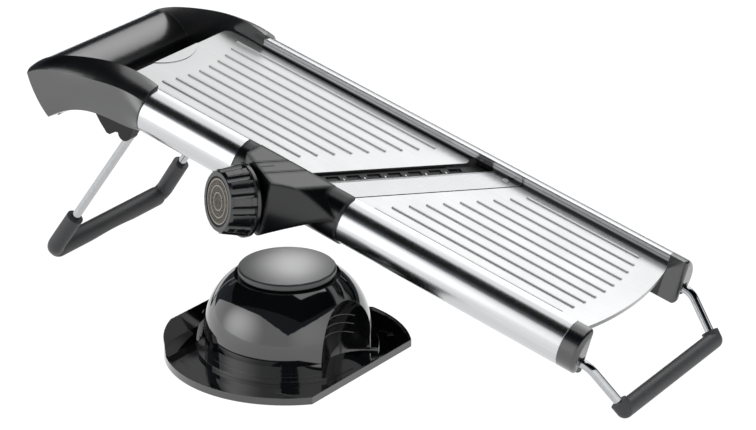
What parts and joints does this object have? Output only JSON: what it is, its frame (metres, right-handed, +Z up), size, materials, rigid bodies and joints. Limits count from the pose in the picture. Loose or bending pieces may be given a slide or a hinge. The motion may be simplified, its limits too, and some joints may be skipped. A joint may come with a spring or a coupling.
{
  "type": "mandoline slicer",
  "caption": "Kitchen mandoline on folding wire feet: ridged feeder deck set by a side knob, slanted fixed blade, julienne comb, ridged outlet deck, loop handle and a separate domed food holder",
  "frame": {"origin": "on the table under the middle of the whole set, slicer and food holder together", "axes": "+X runs along the slicer from the handle to the front foot, +Y from the knob side to the far rail, +Z up from the table"},
  "size_m": [0.4206, 0.2306, 0.1413],
  "materials": {
    "bright_rail": "polished bright steel",
    "deck_steel": "fine satin steel sheet",
    "blade_steel": "bright ground blade steel",
    "plain_steel": "plain drawn steel",
    "satin_black": "satin black moulded plastic",
    "gloss_black": "gloss black moulded plastic",
    "inner_black": "matte black moulded plastic",
    "badge_metal": "brushed grey-bronze metal disc",
    "chrome_wire": "polished chromed wire",
    "foot_rubber": "dull dark grey rubber",
    "cap_grey": "fine-grained dark grey plastic"
  },
  "bodies": {
    "frame": {"near_rail": "bright_rail", "far_rail": "bright_rail", "handle": "satin_black", "near_end_cap": "satin_black", "far_end_cap": "satin_black", "hinge_pin": "plain_steel", "outlet_deck": "deck_steel", "blade": "blade_steel", "blade_screw": "plain_steel", "blade_bed": "inner_black", "knob_housing": "gloss_black", "shaft_bearing": "inner_black", "near_leg_bracket": "satin_black", "far_leg_bracket": "satin_black"},
    "knob": {"thickness_knob": "gloss_black", "knob_badge": "badge_metal", "cam_shaft": "plain_steel", "near_cam": "inner_black", "far_cam": "inner_black"},
    "feeder": {"feeder_deck": "deck_steel", "feeder_frame": "inner_black", "julienne_bar": "inner_black"},
    "comb": {"julienne_comb": "blade_steel"},
    "rear_leg": {"rear_leg_wire": "chrome_wire", "rear_leg_foot": "foot_rubber"},
    "front_foot": {"front_foot_wire": "chrome_wire", "front_foot_sleeve": "foot_rubber"},
    "holder": {"holder_base": "gloss_black", "holder_dome": "gloss_black"},
    "pusher": {"pusher_cap": "cap_grey", "pusher_stem": "inner_black", "pusher_plate": "inner_black", "pusher_pins": "plain_steel"}
  },
  "joints": [
    {"name": "knob_turn", "type": "hinge", "parent": "frame", "child": "knob", "pos_m": [-0.03389, -0.03871, 0.0865], "axis": [-0.4677, -0.8746, 0.1275], "range_deg": [0, 240]},
    {"name": "deck_tilt", "type": "hinge", "parent": "frame", "child": "feeder", "pos_m": [-0.1379, 0.0437, 0.12418], "axis": [0.4677, 0.8746, -0.1275], "range_deg": [0, 3.41]},
    {"name": "comb_lift", "type": "slide", "parent": "feeder", "child": "comb", "axis": [0.263, 0, 0.9648], "range_m": [0, 0.0045]},
    {"name": "rear_leg_fold", "type": "hinge", "parent": "frame", "child": "rear_leg", "pos_m": [-0.13645, 0.0437, 0.0995], "axis": [0, -1, 0], "range_deg": [0, 104]},
    {"name": "front_foot_fold", "type": "hinge", "parent": "frame", "child": "front_foot", "pos_m": [0.17464, 0.0437, 0.0312], "axis": [0, 1, 0], "range_deg": [0, 90]},
    {"name": "holder_slide", "type": "slide", "parent": "frame", "child": "holder", "axis": [0, -1, 0], "range_m": [0, 0.15]},
    {"name": "pusher_slide", "type": "slide", "parent": "holder", "child": "pusher", "axis": [0, 0, 1], "range_m": [0, 0.007]}
  ],
  "couplings": [
    {"joint": "deck_tilt", "follows": "knob_turn", "ratio": 0.014188}
  ]
}
